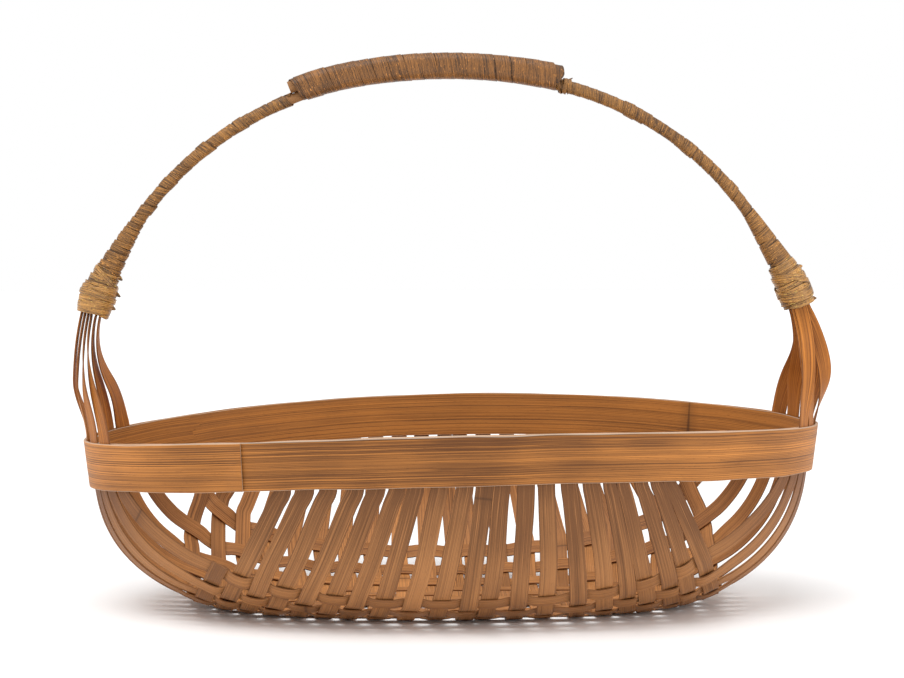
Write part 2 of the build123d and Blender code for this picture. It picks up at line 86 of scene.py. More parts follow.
# bowl
FLAT_X, SLOPE_X, POWER_X = 0.627, 0.05, 2.53
FLAT_Y, SLOPE_Y, POWER_Y = 0.379, 0.08, 3.26
BOWL_X = HALF_LENGTH - FLARE * BAND_DEPTH - STAKE_INSET - HANDLE_ROOM
BOWL_Y = HALF_WIDTH - FLARE * BAND_DEPTH - STAKE_INSET
WEAVE_OFFSET = (STRIP + WEAVE_GAP) / 2
BOWL_LIFT = WEAVE_OFFSET + STRIP / 2

# handle
HANDLE_RIM_Y = {-1: (-45.5, -32.0, -12.0, 6.0, 32.5, 45.0),
                1: (-43.0, -31.0, -10.0, 8.0, 28.0, 40.5)}
HANDLE_WIDTH_RIM, HANDLE_WIDTH_KNOT, HANDLE_AIM = 11.6, {-1: 7.5, 1: 7.2}, 2.5
HANDLE_INSET, HANDLE_TAIL, STACK_PITCH = 2.3, 21.0, 0.95
HANDLE_BULGE = {-1: (0, 0, 0, 0, 0, 0), 1: (0, 0, 6.0, 5.0, 0, 0)}
HANDLE_PULL, HANDLE_TURN, FAN, FAN_RISE = (0.33, 0.38), 0.8, 0.35, 0.5
CROWN_X, CROWN_Z, CROWN_RADIUS, CROWN_TURN = -1.4, 289.9, 283.4, 0.1845
FLANK_RADIUS = {-1: 182.6, 1: 177.1}
FLANK_TURN = {-1: 0.865, 1: 0.818}
SHIN = {-1: 13.7, 1: 21.0}
ANKLE_TURN = {-1: 0.33, 1: 0.30}
CORE_RADIUS, WRAP_GAP, ARCH_WRAP = 2.7, 0.1, 3.5
GRIP_ENDS, GRIP_RISE, GRIP_OUTER, GRIP_SQUARENESS = (-87.5, 59.0), 3.7, (6.9, 7.2), 0.8
KNOT_LENGTH, KNOT_ENTRY, STACK_SHARES = 28.0, 2.0, (0.5, 0.75)
TAPER_LENGTH, TAPER_OUTER = 32.0, 6.6
# Places of the strips in a knot, by strip. Left: layer outward of the core, then how far outward the
# strip opens below the knot. Right: layer beside the core, and how far outward it lies.
LEFT_STACK = (1, 2, 3, 4, -1, -2)
LEFT_OPEN = (0.6, 2.4, 4.25, 6.05, -1.6, -4.0)
RIGHT_STACK = ((-3, 0.0), (-2, -1.5), (-1, 2.2), (1, 2.2), (2, -1.5), (3, -0.6))

SIDES = {-1: "left", 1: "right"}

# ---- how finely strips are drawn, and how much their tones differ ----
STATION_STEP, TONE_SPREAD = 2.2, 0.12


# ---- vectors and curves ----
def unit(v):
    v = np.asarray(v, float)
    return v / np.linalg.norm(v, axis=-1, keepdims=True)


def vec(x, y, z):
    return np.array([x, y, z], float)


def column(values):
    return np.asarray(values, float)[..., None]


def smoothstep(x):
    x = np.clip(x, 0, 1)
    return x * x * (3 - 2 * x)


def in_surface(direction, normal):
    """Unit direction with its part along the normal taken out."""
    return unit(direction - normal * column((direction * normal).sum(-1)))


def lengths_along(points):
    return np.concatenate([[0], np.cumsum(np.linalg.norm(np.diff(points, axis=0), axis=1))])


def wander(seed, s, pitch, amount):
    """Smooth random curve with a fresh value every pitch along s."""
    s = np.asarray(s, float)
    low = math.floor(s.min() / pitch) - 1
    values = np.random.default_rng(seed).normal(0, amount, int((s.max() / pitch) - low) + 4)
    x = s / pitch - low
    i = np.floor(x).astype(int)
    f = smoothstep(x - i)
    return values[i] * (1 - f) + values[i + 1] * f


def smooth_run(points, step):
    """Stations of a smooth curve through points, and the stations of the points themselves."""
    s = lengths_along(points)
    at = np.linspace(0, s[-1], max(int(s[-1] / step), 8) + 1)
    return at, s


def hermite(s, values, at):
    """Smooth curve through unevenly spaced values, which never swings past them."""
    values = np.asarray(values, float)
    h = np.diff(s)
    slope = np.diff(values, axis=0) / column(h)
    tangent = np.empty_like(values)
    tangent[0], tangent[-1] = slope[0], slope[-1]
    before, after = slope[:-1], slope[1:]
    same_way = before * after > 0
    weight = column((h[1:] * 2 + h[:-1]) / (3 * (h[1:] + h[:-1])))
    harmonic = weight * np.where(same_way, after, 1) + (1 - weight) * np.where(same_way, before, 1)
    tangent[1:-1] = np.where(same_way, before * after / harmonic, 0)
    i = np.clip(np.searchsorted(s, at, side="right") - 1, 0, len(h) - 1)
    u = column((at - s[i]) / h[i])
    step = column(h[i])
    return ((2 * u ** 3 - 3 * u ** 2 + 1) * values[i] + (u ** 3 - 2 * u ** 2 + u) * step * tangent[i]
            + (3 * u ** 2 - 2 * u ** 3) * values[i + 1] + (u ** 3 - u ** 2) * step * tangent[i + 1])


def swept(points, normals):
    """Smooth curve through points.

    Gives its stations, the stations of the points, and its centres, normals and sideways directions.
    """
    at, s = smooth_run(points, STATION_STEP)
    centres = hermite(s, points, at)
    normals = np.stack([np.interp(at, s, normals[:, i]) for i in range(3)], -1)
    run = unit(np.gradient(centres, axis=0))
    normals = in_surface(normals, run)
    return at, s, centres, normals, np.cross(normals, run)


# ---- meshes ----
def make_object(name, verts, faces, uv, fields, material):
    """Mesh from vertices in millimetres, with a UV in metres and float fields for its material."""
    mesh = bpy.data.meshes.new(name)
    mesh.from_pydata((verts * MM).tolist(), [], faces)
    layer = mesh.uv_layers.new(name="grain")
    corner = np.empty(len(mesh.loops), np.int32)
    mesh.loops.foreach_get("vertex_index", corner)
    layer.data.foreach_set("uv", (uv[corner] * MM).astype(np.float32).ravel())
    for key, value in fields.items():
        attribute = mesh.attributes.new(key, "FLOAT", "POINT")
        value = np.broadcast_to(np.asarray(value, np.float32), (len(verts),))
        attribute.data.foreach_set("value", np.ascontiguousarray(value))
    mesh.validate()
    mesh.polygons.foreach_set("use_smooth", [True] * len(mesh.polygons))
    mesh.set_sharp_from_angle(angle=math.radians(50))
    mesh.materials.append(material)
    piece = bpy.data.objects.new(name, mesh)
    bpy.context.scene.collection.objects.link(piece)
    return piece


def profile(rows):
    """Corners of a flat section with rounded edges.

    Each is its share of the flat width and height, then its share of the rounding.
    """
    flats = np.linspace(-1, 1, rows)
    corners = [(f, 1, 0, 1) for f in flats]
    for turn, sx, sy in ((60, 1, 1), (25, 1, 1), (-25, 1, -1), (-60, 1, -1)):
        a = math.radians(turn)
        corners.append((sx, sy, math.cos(a), math.sin(a)))
    corners += [(f, -1, 0, -1) for f in flats[::-1]]
    for turn, sx, sy in ((-120, -1, -1), (-155, -1, -1), (155, -1, 1), (120, -1, 1)):
        a = math.radians(turn)
        corners.append((sx, sy, math.cos(a), math.sin(a)))
    return np.array(corners)


def ribbon_mesh(centres, across, normals, widths, thicks, rows=5, rounding=0.3, cup=0.0,
                relief=0.0, seed=0, lean=0.0, ribs=0, rib_depth=0.0):
    """Vertices, faces, UVs and fields of a flat strip swept along its centre line."""
    n = len(centres)
    widths = np.broadcast_to(np.asarray(widths, float), (n,))
    thicks = np.broadcast_to(np.asarray(thicks, float), (n,))
    s = lengths_along(centres)
    corners = profile(rows)
    r = np.minimum(rounding, thicks * 0.48)[:, None]
    x = corners[:, 0] * (widths[:, None] / 2 - r) + corners[:, 2] * r
    y = corners[:, 1] * (thicks[:, None] / 2 - r) + corners[:, 3] * r
    share = x / (widths[:, None] / 2)
    y = y + cup * (1 - share ** 2)
    if relief:
        for c in range(len(corners)):
            if abs(corners[c, 0]) < 1:
                y[:, c] += wander(seed * 97 + c, s, 45.0, relief)
    if lean:
        y = y + lean * share
    if ribs:
        furrow = 1 - np.abs(np.sin(np.pi * ribs * (share + 1) / 2))
        y = y - rib_depth * furrow * (corners[:, 1] > 0)
    verts = (centres[:, None] + across[:, None] * x[..., None] + normals[:, None] * y[..., None])
    k = len(corners)
    index = np.arange(n * k).reshape(n, k)
    a, b = index[:-1], index[1:]
    c, d = np.roll(b, -1, axis=1), np.roll(a, -1, axis=1)
    faces = np.stack([a, b, c, d], -1).reshape(-1, 4)
    if np.dot(np.cross(across[0], normals[0]), centres[1] - centres[0]) < 0:
        faces = faces[:, ::-1]
        ends = [index[0].tolist(), index[-1][::-1].tolist()]
    else:
        ends = [index[0][::-1].tolist(), index[-1].tolist()]
    faces = faces.tolist() + ends
    uv = np.stack([np.broadcast_to(s[:, None], x.shape), x], -1).reshape(-1, 2)
    cut = np.broadcast_to((np.abs(corners[:, 0]) == 1) & (corners[:, 2] != 0), x.shape)
    fields = {"cut": cut.ravel().astype(float),
              "inside": np.broadcast_to(corners[:, 1] > 0, x.shape).ravel().astype(float)}
    return verts.reshape(-1, 3), faces, uv, fields, (n, k)


def per_section(values, shape):
    """One value for each corner, from one for each station."""
    return np.repeat(np.asarray(values, float), shape[1])


def join_meshes(parts):
    """Several ribbons as one piece."""
    verts, faces, uvs, fields = [], [], [], {}
    count = 0
    for v, f, uv, field in parts:
        verts.append(v)
        faces += [[i + count for i in face] for face in f]
        uvs.append(uv)
        for key, value in field.items():
            fields.setdefault(key, []).append(np.broadcast_to(np.asarray(value, float), (len(v),)))
        count += len(v)
    return (np.concatenate(verts), faces, np.concatenate(uvs),
            {key: np.concatenate(value) for key, value in fields.items()})


# ---- material nodes ----
class Graph:
    """Short calls for the nodes of one material."""

    def __init__(self, name):
        self.material = bpy.data.materials.new(name)
        self.material.use_nodes = True
        self.tree = self.material.node_tree
        self.tree.nodes.clear()
        self.shader = self.tree.nodes.new("ShaderNodeBsdfPrincipled")
        output = self.tree.nodes.new("ShaderNodeOutputMaterial")
        self.link(self.shader.outputs[0], output.inputs[0])

    def link(self, source, target):
        self.tree.links.new(source, target)

    def put(self, value, target):
        if isinstance(value, bpy.types.NodeSocket):
            self.link(value, target)
        else:
            target.default_value = value

    def math(self, operation, a, b=0.0, clamp=False):
        node = self.tree.nodes.new("ShaderNodeMath")
        node.operation = operation
        node.use_clamp = clamp
        self.put(a, node.inputs[0])
        self.put(b, node.inputs[1])
        return node.outputs[0]

    def field(self, name):
        node = self.tree.nodes.new("ShaderNodeAttribute")
        node.attribute_name = name
        return node.outputs["Fac"]

    def grain_axes(self):
        node = self.tree.nodes.new("ShaderNodeUVMap")
        node.uv_map = "grain"
        split = self.tree.nodes.new("ShaderNodeSeparateXYZ")
        self.link(node.outputs[0], split.inputs[0])
        return split.outputs[0], split.outputs[1]

    def stretched(self, u, v, seed, along, across):
        """Place in a noise whose cells are along by across metres."""
        node = self.tree.nodes.new("ShaderNodeCombineXYZ")
        self.put(self.math("DIVIDE", u, along), node.inputs[0])
        self.put(self.math("DIVIDE", v, across), node.inputs[1])
        self.put(self.math("MULTIPLY", seed, 31.7), node.inputs[2])
        return node.outputs[0]

    def noise(self, vector, detail=3.0, roughness=0.55):
        node = self.tree.nodes.new("ShaderNodeTexNoise")
        node.inputs["Scale"].default_value = 1.0
        node.inputs["Detail"].default_value = detail
        node.inputs["Roughness"].default_value = roughness
        self.link(vector, node.inputs["Vector"])
        return node.outputs["Fac"]

    def ramp(self, factor, low, high, out_low=0.0, out_high=1.0):
        node = self.tree.nodes.new("ShaderNodeMapRange")
        node.clamp = True
        self.put(factor, node.inputs["Value"])
        for socket, value in zip(("From Min", "From Max", "To Min", "To Max"),
                                 (low, high, out_low, out_high)):
            node.inputs[socket].default_value = value
        return node.outputs["Result"]

    def mix(self, factor, a, b):
        node = self.tree.nodes.new("ShaderNodeMix")
        node.data_type = "RGBA"
        node.blend_type = "MIX"
        self.put(factor, node.inputs[0])
        self.put(a if isinstance(a, bpy.types.NodeSocket) else (*a, 1.0), node.inputs[6])
        self.put(b if isinstance(b, bpy.types.NodeSocket) else (*b, 1.0), node.inputs[7])
        return node.outputs[2]

    def bump(self, height, distance, strength=1.0, normal=None):
        node = self.tree.nodes.new("ShaderNodeBump")
        node.inputs["Strength"].default_value = strength
        node.inputs["Distance"].default_value = distance
        self.put(height, node.inputs["Height"])
        if normal is not None:
            self.link(normal, node.inputs["Normal"])
        return node.outputs["Normal"]

    def finish(self, color, roughness, normal, **plain):
        self.put(color, self.shader.inputs["Base Color"])
        self.put(roughness, self.shader.inputs["Roughness"])
        self.link(normal, self.shader.inputs["Normal"])
        for name, value in plain.items():
            self.shader.inputs[name.replace("_", " ")].default_value = value
        return self.material


def srgb(red, green, blue):
    """Linear colour of an 8-bit display colour."""
    return tuple((c / 255 / 12.92) if c <= 10 else ((c / 255 + 0.055) / 1.055) ** 2.4
                 for c in (red, green, blue))


def bamboo(name, light, dark, inside_face_and_light, edge, fibre=0.00042, streak=0.0030, broadness=0.5,
           contrast=1.0, gloss=0.5):
    """Split bamboo: long fibres, streaks, cloudy patches, short dark flecks and a node line."""
    g = Graph(name)
    u, v = g.grain_axes()
    seed, tone, cut, inside = (g.field(key) for key in ("seed", "tone", "cut", "inside"))
    seed_in = g.math("ADD", seed, g.math("MULTIPLY", inside, 3.3))
    fine = g.noise(g.stretched(u, v, seed_in, 0.5, fibre), 2, 0.7)
    broad = g.noise(g.stretched(u, v, seed_in, 0.4, streak), 2, 0.5)
    cloud = g.noise(g.stretched(u, v, seed_in, 0.05, 0.02), 2, 0.5)
    value = g.math("MULTIPLY", g.math("SUBTRACT", fine, 0.5), 2.3 * contrast)
    value = g.math("ADD", value, g.math("MULTIPLY", g.math("SUBTRACT", broad, 0.5), broadness))
    value = g.math("ADD", value, g.math("MULTIPLY", g.math("SUBTRACT", cloud, 0.5), 0.8))
    value = g.math("ADD", g.math("ADD", value, 0.5), tone, clamp=True)
    color = g.mix(value, dark, light)
    # Faces flagged inside get a lighter, warmer colour: partly the bamboo's own other side, partly
    # painted light where those faces catch the light.
    inner_color = g.mix(value, tuple(c * 0.95 for c in dark), inside_face_and_light)
    color = g.mix(g.math("MULTIPLY", inside, 0.7), color, inner_color)
    line = g.noise(g.stretched(u, v, g.math("ADD", seed_in, 5.0), 0.8, fibre * 1.2), 2, 0.5)
    color = g.mix(g.ramp(line, 0.56, 0.64, 0, 0.6 * contrast), color, tuple(c * 0.55 for c in dark))
    fleck = g.noise(g.stretched(u, v, seed_in, 0.004, 0.0003), 1, 0.5)
    color = g.mix(g.ramp(fleck, 0.66, 0.76, 0, 0.45), color, tuple(c * 0.5 for c in dark))
    pale = g.noise(g.stretched(u, v, g.math("ADD", seed_in, 9.0), 0.05, 0.0004), 2, 0.5)
    color = g.mix(g.ramp(pale, 0.58, 0.72, 0, 0.5), color, tuple(min(c * 1.45, 1) for c in light))
    distance = g.math("ABSOLUTE", g.math("SUBTRACT", u, g.field("node_at")))
    wobble = g.math("MULTIPLY", g.math("SUBTRACT", cloud, 0.5), 0.0012)
    distance = g.math("ADD", distance, wobble)
    ring = g.ramp(distance, 0.0002, 0.0011, 1, 0)
    color = g.mix(g.math("MULTIPLY", ring, 0.7), color, tuple(c * 0.4 for c in dark))
    halo = g.ramp(distance, 0.001, 0.007, 0.3, 0)
    color = g.mix(halo, color, tuple(c * 0.7 for c in dark))
    # cut edges take the edge colour; the strips' dark edge colour also paints the shade between
    # neighbouring strips
    color = g.mix(g.math("MULTIPLY", cut, 0.5), color, edge)
    height = g.math("ADD", g.math("MULTIPLY", fine, 0.8), g.math("MULTIPLY", line, -0.6))
    normal = g.bump(height, 0.0002, 0.6)
    normal = g.bump(g.ramp(distance, 0.0004, 0.003, 1, 0), 0.0003, 0.6, normal)
    roughness = g.math("ADD", g.math("MULTIPLY", fine, 0.2), gloss)
    return g.finish(color, roughness, normal, Specular_IOR_Level=0.3)


def rattan(name, light, dark, gloss=0.42, shine=0.1):
    """Flat split rattan in a winding: fibres round the handle, dark joints and pale flecks."""
    g = Graph(name)
    u, v = g.grain_axes()
    seed, tone, cut = (g.field(key) for key in ("seed", "tone", "cut"))
    fine = g.noise(g.stretched(u, v, seed, 0.012, 0.0003), 3, 0.7)
    broad = g.noise(g.stretched(u, v, seed, 0.03, 0.0016), 2, 0.5)
    cloud = g.noise(g.stretched(u, v, seed, 0.012, 0.02), 2, 0.5)
    value = g.math("MULTIPLY", g.math("SUBTRACT", fine, 0.5), 3.4)
    value = g.math("ADD", value, g.math("MULTIPLY", g.math("SUBTRACT", broad, 0.5), 0.5))
    value = g.math("ADD", value, g.math("MULTIPLY", g.math("SUBTRACT", cloud, 0.5), 0.5))
    value = g.math("ADD", g.math("ADD", value, 0.5), tone, clamp=True)
    color = g.mix(value, dark, light)
    fleck = g.noise(g.stretched(u, v, g.math("ADD", seed, 4.0), 0.0022, 0.0007), 2, 0.6)
    color = g.mix(g.ramp(fleck, 0.62, 0.72, 0, 0.75), color, tuple(min(c * 2.1, 1) for c in light))
    speck = g.noise(g.stretched(u, v, g.math("ADD", seed, 8.0), 0.0016, 0.0005), 2, 0.6)
    color = g.mix(g.ramp(speck, 0.58, 0.68, 0, 0.75), color, tuple(c * 0.45 for c in dark))
    color = g.mix(g.math("MULTIPLY", cut, 0.45), color, tuple(c * 0.4 for c in dark))
    normal = g.bump(g.math("ADD", fine, g.math("MULTIPLY", fleck, 0.5)), 0.00022, 0.8)
    roughness = g.math("ADD", g.math("MULTIPLY", fine, 0.25), gloss)
    return g.finish(color, roughness, normal, Specular_IOR_Level=0.45, Coat_Weight=shine,
                    Coat_Roughness=0.25)


# The strip edges are darkened, which also paints the shade in the gaps between neighbouring strips; the
# bands' cut edges are pale.
STRIP_EDGE_AND_SHADE, BAND_EDGE = srgb(90, 55, 30), srgb(222, 204, 182)
MATERIALS = {
    "cross_bamboo": bamboo("cross_bamboo", srgb(180, 124, 74), srgb(116, 74, 40),
                           srgb(210, 142, 78), STRIP_EDGE_AND_SHADE, contrast=0.9),
    "long_bamboo": bamboo("long_bamboo", srgb(184, 126, 72), srgb(118, 73, 38),
                          srgb(210, 142, 78), STRIP_EDGE_AND_SHADE, contrast=0.9),
    "rim_bamboo": bamboo("rim_bamboo", srgb(185, 118, 50), srgb(100, 58, 22),
                         srgb(226, 148, 72), BAND_EDGE, fibre=0.00034, streak=0.0016,
                         broadness=0.4, contrast=1.25, gloss=0.45),
    "handle_bamboo": bamboo("handle_bamboo", srgb(212, 134, 54), srgb(122, 66, 22),
                            srgb(204, 126, 50), STRIP_EDGE_AND_SHADE),
    "grip_rattan": rattan("grip_rattan", srgb(164, 108, 50), srgb(52, 31, 13)),
    "wrap_rattan": rattan("wrap_rattan", srgb(182, 126, 60), srgb(60, 36, 14)),
    "knot_rattan": rattan("knot_rattan", srgb(222, 160, 80), srgb(74, 45, 16), gloss=0.34, shine=0.35),
}


def place(name, parts, slot, replaced):
    """One finished piece from its ribbons."""
    piece = make_object(name, *join_meshes(parts), MATERIALS[slot])
    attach(piece, "root")
    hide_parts(*replaced)
    return piece


# ---- rim ----
def rim_top(t):
    c = np.cos(t)
    return RIM_HEIGHT - END_DIP * c * c + END_TILT * c


def oval_normal(t):
    t = np.asarray(t, float)
    return unit(np.stack([np.cos(t) / HALF_LENGTH, np.sin(t) / HALF_WIDTH, t * 0], -1))


def oval_point(t, drop, inset):
    """Point at angle t round the rim, so far below its top and inside its outer face."""
    t = np.asarray(t, float)
    edge = np.stack([HALF_LENGTH * np.cos(t), HALF_WIDTH * np.sin(t), rim_top(t) - drop], -1)
    return edge - oval_normal(t) * column(inset + FLARE * drop + t * 0)


def stake_inset(t):
    """How far inside the rim's outer face the wall strips stand, with room for the handle strips."""
    return STAKE_INSET + HANDLE_ROOM * np.cos(t) ** 2


def inner_band_inset(t):
    return stake_inset(t) + STRIP / 2 + BAND_GAP


def rim_band(name, lap_degrees, face_inset, thickness, seed, tone, node_degrees):
    """Wide bent band, shaved where its ends lie one over the other."""
    end = math.radians(lap_degrees)
    lap = LAP_LENGTH / HALF_LENGTH
    total = 2 * math.pi + lap
    along = np.linspace(0, total, 560)
    t = end - lap + along
    under, over = np.minimum(along / lap, 1), np.minimum((total - along) / lap, 1)
    outer = face_inset(t) + (OUTER_LAP + LAP_GAP) * (1 - under)
    inner = face_inset(t) + thickness - (thickness - OUTER_LAP) * (1 - over)
    spring = LAP_SPRING * (1 - smoothstep((total - along) / LAP_SPRING_TURN))
    middle = (outer + inner) / 2 - spring
    top, bottom = oval_point(t, 0, middle), oval_point(t, BAND_DEPTH, middle)
    s = lengths_along(top)
    height = unit(top - bottom)
    top = top + height * column(wander(seed, s, 22.0, 0.18))
    lift = BACK_LIFT * np.maximum(np.sin(t), 0)
    bottom = bottom + height * column(wander(seed + 1, s, 26.0, 0.25) + lift)
    run = unit(np.gradient(top, axis=0))
    outward = unit(np.cross(run, height))
    centres = (top + bottom) / 2 + outward * column(wander(seed + 2, s, 60.0, 0.12))
    widths = np.linalg.norm(top - bottom, axis=1)
    verts, faces, uv, fields, shape = ribbon_mesh(
        centres, height, outward, widths, inner - outer, rows=15, rounding=0.35, relief=0.035, seed=seed)
    fields["tone"] = per_section(tone(t) + wander(seed + 3, s, 70.0, 0.05), shape)
    fields["seed"] = seed * 0.37
    fields["node_at"] = float(np.interp(math.radians(node_degrees), t, s)) * MM
    return place(name, [(verts, faces, uv, fields)], "rim_bamboo", [name])


def outer_tone_and_sheen(t):
    """Partly the band's own tone and partly painted light: a painted sheen at the left of the front,
    painted shade in its middle, and warm again at the right.
    """
    return 0.05 * np.cos(t - math.radians(200)) + 0.42 * np.abs(np.cos(t)) - 0.32


def inner_tone(t):
    return 0.24 + 0.0 * t


rim_band("outer_rim_band", OUTER_LAP_ANGLE, lambda t: 0.0 * t, OUTER_BAND, 11, outer_tone_and_sheen, 460)
rim_band("inner_rim_band", INNER_LAP_ANGLE, inner_band_inset, INNER_BAND, 12, inner_tone, 401)


# ---- bowl ----
def spread(share, flat, slope, power):
    """Half width of the bowl at a share of its height, as a share of that at the rim."""
    return flat + slope * share + (1 - flat - slope) * (1 - (1 - share) ** power) ** (2 / 3)


def bowl_halves(share):
    share = min(max(share, 0.0), 1.0)
    return (BOWL_X * spread(share, FLAT_X, SLOPE_X, POWER_X),
            BOWL_Y * spread(share, FLAT_Y, SLOPE_Y, POWER_Y))


def bowl_excess(x, y, share):
    a, b = bowl_halves(share)
    return (x / a) ** 2 + (y / b) ** 2 - 1


def bowl_share(x, y):
    """Share of the wall's height at which the bowl reaches out to x, y."""
    if bowl_excess(x, y, 0) <= 0:
        return 0.0
    low, high = 0.0, 1.0
    for _ in range(30):
        middle = (low + high) / 2
        if bowl_excess(x, y, middle) > 0:
            low = middle
        else:
            high = middle
    return high


def wall_height(x, y):
    t = math.atan2(y / BOWL_Y, x / BOWL_X)
    return float(rim_top(t)) - BAND_DEPTH - BOWL_LIFT


def bowl_point(x, y):
    return vec(x, y, BOWL_LIFT + bowl_share(x, y) * wall_height(x, y))


def bowl_normal(p):
    """Unit normal that points into the bowl."""
    height = wall_height(p[0], p[1])
    share = (p[2] - BOWL_LIFT) / height
    if share < 1e-6:
        return vec(0, 0, 1)
    step = min(0.01, share / 2)
    rise = (bowl_excess(p[0], p[1], share + step) - bowl_excess(p[0], p[1], share - step)) / (2 * step)
    a, b = bowl_halves(share)
    return unit(vec(-2 * p[0] / a ** 2, -2 * p[1] / b ** 2, -rise / height))


def long_line(j, x):
    y = LONG_HALF_SPREAD * (2 * j / (LONG_COUNT - 1) - 1)
    converge = FRONT_CONVERGE if y < 0 else BACK_CONVERGE
    return y * (1 - converge * (x / WEAVE_END) ** 2)


def row_direction(row, i, normal):
    return in_surface(row[min(i + 1, len(row) - 1)] - row[max(i - 1, 0)], normal)


def cross_rim_x(k, back):
    if not back:
        return CROSS_FRONT_RIM[k]
    factor, shift = CROSS_BACK_RIM
    return factor * CROSS_X[k] + shift


def crossing_centre(k, j):
    """Where strips k and j meet: the cross strips fan out down the walls."""
    x = CROSS_X[k]
    for _ in range(20):
        y = long_line(j, x)
        share, back = bowl_share(x, y), y > 0
        bow = CROSS_BACK_BULGE * 4 * share * (1 - share) if back else 0
        x = (x + CROSS_X[k] * (1 + bow - share) + cross_rim_x(k, back) * share) / 2
    return bowl_point(x, long_line(j, x))


CENTRES = np.array([[crossing_centre(k, j) for j in range(LONG_COUNT)] for k in range(len(CROSS_X))])


def crossing(k, j):
    """Centre and normal where strips k and j cross, and the directions of both."""
    centre = CENTRES[k, j]
    normal = bowl_normal(centre)
    return centre, normal, row_direction(CENTRES[k], j, normal), row_direction(CENTRES[:, j], k, normal)


CROSSINGS = [[crossing(k, j) for j in range(LONG_COUNT)] for k in range(len(CROSS_X))]


def weave_frames(crossings, own_width, other_width):
    """A flat at each crossing, over or under the other strip."""
    frames = []
    for i, (centre, normal, run, other_run, side) in enumerate(crossings):
        beside = [crossings[n][0] for n in (i - 1, i + 1) if 0 <= n < len(crossings)]
        room = FLAT_ROOM * min(np.linalg.norm(centre - point) for point in beside)
        cosine = abs(run @ other_run)
        flat = (other_width / 2 + own_width / 2 * cosine) / math.sqrt(1 - cosine ** 2) + FLAT_EXTRA
        half = min(flat, room)
        level = centre + normal * (side * WEAVE_OFFSET)
        frames += [(level - run * half, normal), (level + run * half, normal)]
    return frames


def wall_point(u_fixed, share, side, across):
    a, b = bowl_halves(share)
    if across:
        x, y = u_fixed, side * b * math.sqrt(max(1 - (u_fixed / a) ** 2, 0))
    else:
        x, y = side * a * math.sqrt(max(1 - (u_fixed / b) ** 2, 0)), u_fixed
    return vec(x, y, BOWL_LIFT + share * wall_height(x, y))


def wall_frames(last, start, end, t, side, across):
    """A strip's run from its last crossing up the wall to between the bands."""
    foot, head = oval_point(t, BAND_DEPTH, stake_inset(t)), oval_point(t, STRIP_TRIM, stake_inset(t))
    low = (last[2] - BOWL_LIFT) / wall_height(last[0], last[1])
    points = [last]
    for share in np.linspace(min(low + WALL_START, WALL_START_LIMIT), 1, WALL_STEPS + 1)[:-1]:
        u = (share - low) / (1 - low)
        points.append(wall_point(start + (end - start) * u, share, side, across))
    points += [foot, head]
    frames = []
    for i in range(1, len(points)):
        after = points[min(i + 1, len(points) - 1)]
        run = unit(after - points[i - 1])
        normal = bowl_normal(points[i]) if i <= WALL_STEPS else -oval_normal(t)
        frames.append((points[i], in_surface(normal, run)))
    return frames


def crowded_width(positions, k, width):
    """Width of strip k at the rim, less where its neighbours stand close."""
    nearest = min(abs(positions[k] - other) for i, other in enumerate(positions) if i != k)
    return min(width, nearest - SIDE_GAP)


# Painted shade: the wall strips' colour is darkened towards the rim, where the bands shade them, and much
# more so at the front than at the back. A further painted contact shade lies just under the bands.
WALL_PAINTED_SHADE, DARK_FROM, DARK_OVER, BACK_DARK_SHARE = 0.55, 28, 45, 0.3
RIM_PAINTED_SHADE, RIM_DARK_FROM, RIM_DARK_OVER = 0.35, 66, 14


def weave_strip(name, slot, first, weave, last, width, end_widths, seed, node_at):
    """A strip of the bowl: first wall run, weave, last wall run."""
    frames = first[::-1] + weave + last
    shares = ([(i + 1) / len(first) for i in range(len(first))][::-1] + [0] * len(weave)
              + [-(i + 1) / len(last) for i in range(len(last))])
    target = [end_widths[0] if share > 0 else end_widths[1] for share in shares]
    sized = np.array([width + (w - width) * abs(share) for share, w in zip(shares, target)])
    points = np.array([p for p, _ in frames])
    normals = np.array([n for _, n in frames])
    at, s, centres, normals, across = swept(points, normals)
    centres = centres + across * column(wander(seed + 5, at, 34.0, 0.22))
    widths = np.interp(at, s, sized) * (1 + wander(seed + 6, at, 30.0, 0.02))
    rng = np.random.default_rng(seed)
    verts, faces, uv, fields, shape = ribbon_mesh(
        centres, across, normals, widths, STRIP, rows=5, rounding=0.22,
        cup=0.05, relief=0.02, seed=seed)
    # painted shade from the bands, taken off each strip's tone
    height, side_share = centres[:, 2], np.where(centres[:, 1] < 0, 1, BACK_DARK_SHARE)
    painted_shade = WALL_PAINTED_SHADE * smoothstep((height - DARK_FROM) / DARK_OVER) * side_share
    painted_shade = painted_shade + RIM_PAINTED_SHADE * smoothstep((height - RIM_DARK_FROM) / RIM_DARK_OVER)
    tone = rng.normal(0, TONE_SPREAD) + wander(seed + 7, at, 60.0, 0.05) - painted_shade
    fields["tone"] = per_section(tone, shape)
    fields["seed"] = (seed % 101) * 0.61
    fields["node_at"] = node_at * MM
    place(name, [(verts, faces, uv, fields)], slot, [name])


# The eleventh cross strip has its node just below the front band.
NODE_STRIP, HIGH_NODE = 10, 30.5


def cross_wall(k, last, back):
    side = 1 if back else -1
    t = side * math.acos(cross_rim_x(k, back) / HALF_LENGTH)
    end = oval_point(t, BAND_DEPTH, stake_inset(t))[0]
    return wall_frames(last, last[0], end, t, side, True)


